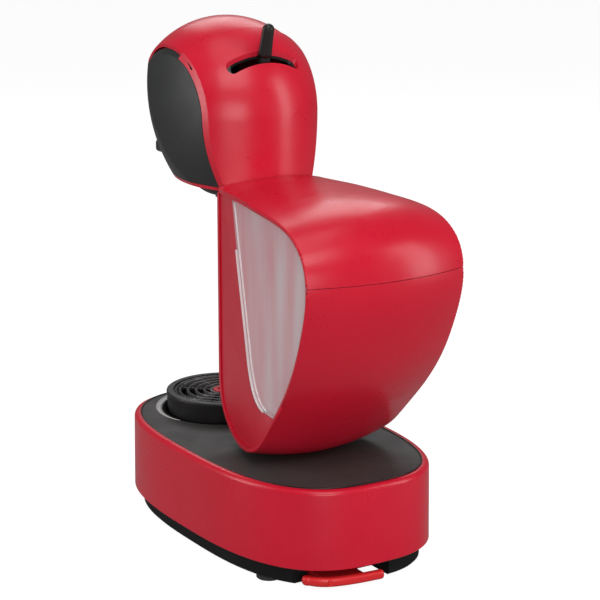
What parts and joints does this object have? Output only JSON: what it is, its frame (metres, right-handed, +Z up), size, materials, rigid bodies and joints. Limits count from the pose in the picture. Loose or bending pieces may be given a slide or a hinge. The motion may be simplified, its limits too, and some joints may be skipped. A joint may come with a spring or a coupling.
{
  "type": "pod coffee machine",
  "caption": "Pod coffee machine with a ball-shaped head, capsule holder, side lever, clear water tank in a looped body and a low oval base with a round drip tray.",
  "frame": {"origin": "middle of the machine's bounding box on the worktop", "axes": "+Z up, -Y towards the user (the capsule holder's grip), +X to the right of a person who stands in front and looks at it"},
  "size_m": [0.143, 0.2721, 0.3323],
  "materials": {
    "red_gloss": "glossy red moulded plastic",
    "black_satin": "satin black moulded plastic",
    "soft_deck": "soft-touch matt black",
    "black_gloss": "glossy black plastic",
    "rubber": "matt black rubber",
    "silicone": "translucent silicone",
    "steel": "bright steel",
    "clear_tank": "clear moulded plastic",
    "clear_tank_ring": "frosted clear light guide",
    "aluminium": "die cast",
    "board": "green circuit board",
    "dark_grey": "dark grey moulded plastic"
  },
  "bodies": {
    "machine": {"base_foot": "black_satin", "base_band": "red_gloss", "base_top_plate": "soft_deck", "base_screws": "steel", "rubber_feet": "rubber", "column_shell": "red_gloss", "column_foot": "black_satin", "rear_cover": "red_gloss", "dock_seal": "silicone", "head_rear_shell": "red_gloss", "side_panel_right": "black_satin", "side_panel_left": "black_satin", "head_floor": "red_gloss", "head_frame": "dark_grey", "handle_pins": "steel", "guide_posts": "steel", "lever_pin": "steel", "lever_bracket": "dark_grey", "lever_guide": "dark_grey", "hot_cold_valve": "dark_grey", "thermoblock": "aluminium", "riser_pipe": "steel", "outlet_pipe": "steel", "control_board": "board", "button_ring": "clear_tank_ring", "button_dome": "silicone", "pump": "dark_grey", "pump_bushes": "rubber", "cord_gland": "rubber"},
    "handle": {"locking_handle": "red_gloss", "handle_grip": "black_gloss"},
    "injector": {"injector_plate": "dark_grey", "injector_needle": "steel", "injector_seal": "silicone"},
    "holder": {"capsule_holder": "black_satin", "holder_grip": "black_gloss", "outlet_nozzle": "dark_grey"},
    "lever": {"selection_lever": "black_satin"},
    "tank": {"water_tank": "clear_tank", "tank_valve": "dark_grey"},
    "lid": {"tank_lid": "red_gloss"},
    "tray": {"drip_tray": "black_satin"},
    "grid": {"drip_grid": "black_gloss", "grid_hub": "red_gloss"},
    "button": {"power_button": "black_gloss"},
    "rinser": {"rinsing_tool": "red_gloss"}
  },
  "joints": [
    {"name": "handle_lift", "type": "hinge", "parent": "machine", "child": "handle", "pos_m": [0, -0.062, 0.271], "axis": [-1, 0, 0], "range_deg": [0, 18]},
    {"name": "injector_rise", "type": "slide", "parent": "machine", "child": "injector", "axis": [0, 0, 1], "range_m": [0, 0.007]},
    {"name": "holder_slide", "type": "slide", "parent": "machine", "child": "holder", "axis": [0, -1, 0], "range_m": [0, 0.085]},
    {"name": "lever_swing", "type": "hinge", "parent": "machine", "child": "lever", "pos_m": [0, -0.0285, 0.2538], "axis": [0, -0.9659, 0.2588], "range_deg": [-20, 20]},
    {"name": "tank_lift", "type": "slide", "parent": "machine", "child": "tank", "axis": [0, 0, 1], "range_m": [0, 0.12]},
    {"name": "lid_lift", "type": "slide", "parent": "tank", "child": "lid", "axis": [0, 0, 1], "range_m": [0, 0.05]},
    {"name": "tray_lift", "type": "slide", "parent": "machine", "child": "tray", "axis": [0, 0, 1], "range_m": [0, 0.03]},
    {"name": "grid_lift", "type": "slide", "parent": "tray", "child": "grid", "axis": [0, 0, 1], "range_m": [0, 0.02]},
    {"name": "button_press", "type": "slide", "parent": "machine", "child": "button", "axis": [0, 1, 0], "range_m": [0, 0.0015], "stiffness_N_per_m": 300, "springref_m": -0.001},
    {"name": "rinser_slide", "type": "slide", "parent": "machine", "child": "rinser", "axis": [0, 1, 0], "range_m": [0, 0.05]}
  ],
  "couplings": [
    {"joint": "injector_rise", "follows": "handle_lift", "m_per_rad": 0.02228}
  ]
}
